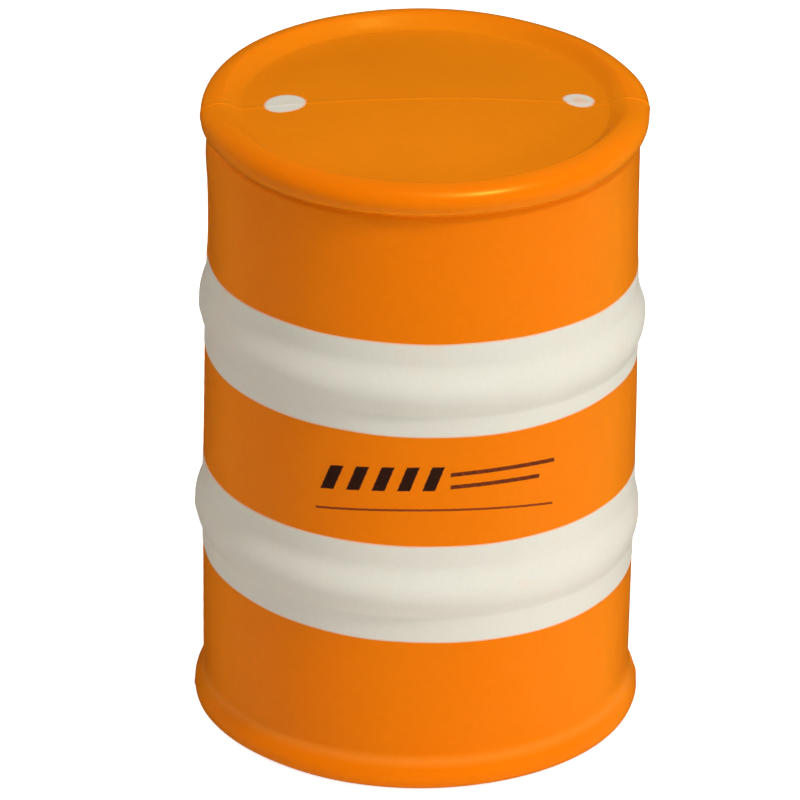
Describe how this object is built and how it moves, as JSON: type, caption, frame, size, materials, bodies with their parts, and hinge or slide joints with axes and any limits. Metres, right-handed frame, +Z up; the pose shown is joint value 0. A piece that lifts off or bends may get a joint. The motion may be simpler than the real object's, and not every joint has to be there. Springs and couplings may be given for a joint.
{
  "type": "traffic drum stress reliever",
  "caption": "Squeezable foam hand toy shaped like a traffic barrel drum: rolled rims, rolling hoops under white painted bands, flat lid with bung marks, small front print.",
  "frame": {"origin": "centre of the foot ring, in the plane the drum stands on", "axes": "+Z up along the drum's axis to the lid; +X along the mould's parting plane, from the large bung mark to the small one; -Y out of the printed front"},
  "size_m": [0.0562, 0.0562, 0.0832],
  "materials": {
    "orange_skin": "satin-matte integral skin of soft polyurethane foam, in-mould orange",
    "foam": "soft open-celled polyurethane foam, pale orange, matte",
    "flash": "trimmed foam edge, matte, a little paler than the skin",
    "white_paint": "flexible warm-white paint, matte with a soft sheen",
    "dark_ink": "pad-printed dark brown ink, satin"
  },
  "bodies": {
    "root": {"foam_core": "foam", "front_skin": "orange_skin", "rear_skin": "orange_skin", "parting_flash": "flash", "upper_white_band": "white_paint", "lower_white_band": "white_paint", "large_bung_mark": "white_paint", "small_bung_mark": "white_paint", "print_bar_1": "dark_ink", "print_bar_2": "dark_ink", "print_bar_3": "dark_ink", "print_bar_4": "dark_ink", "print_bar_5": "dark_ink", "print_line_upper": "dark_ink", "print_line_lower": "dark_ink", "print_rule": "dark_ink"}
  },
  "joints": []
}
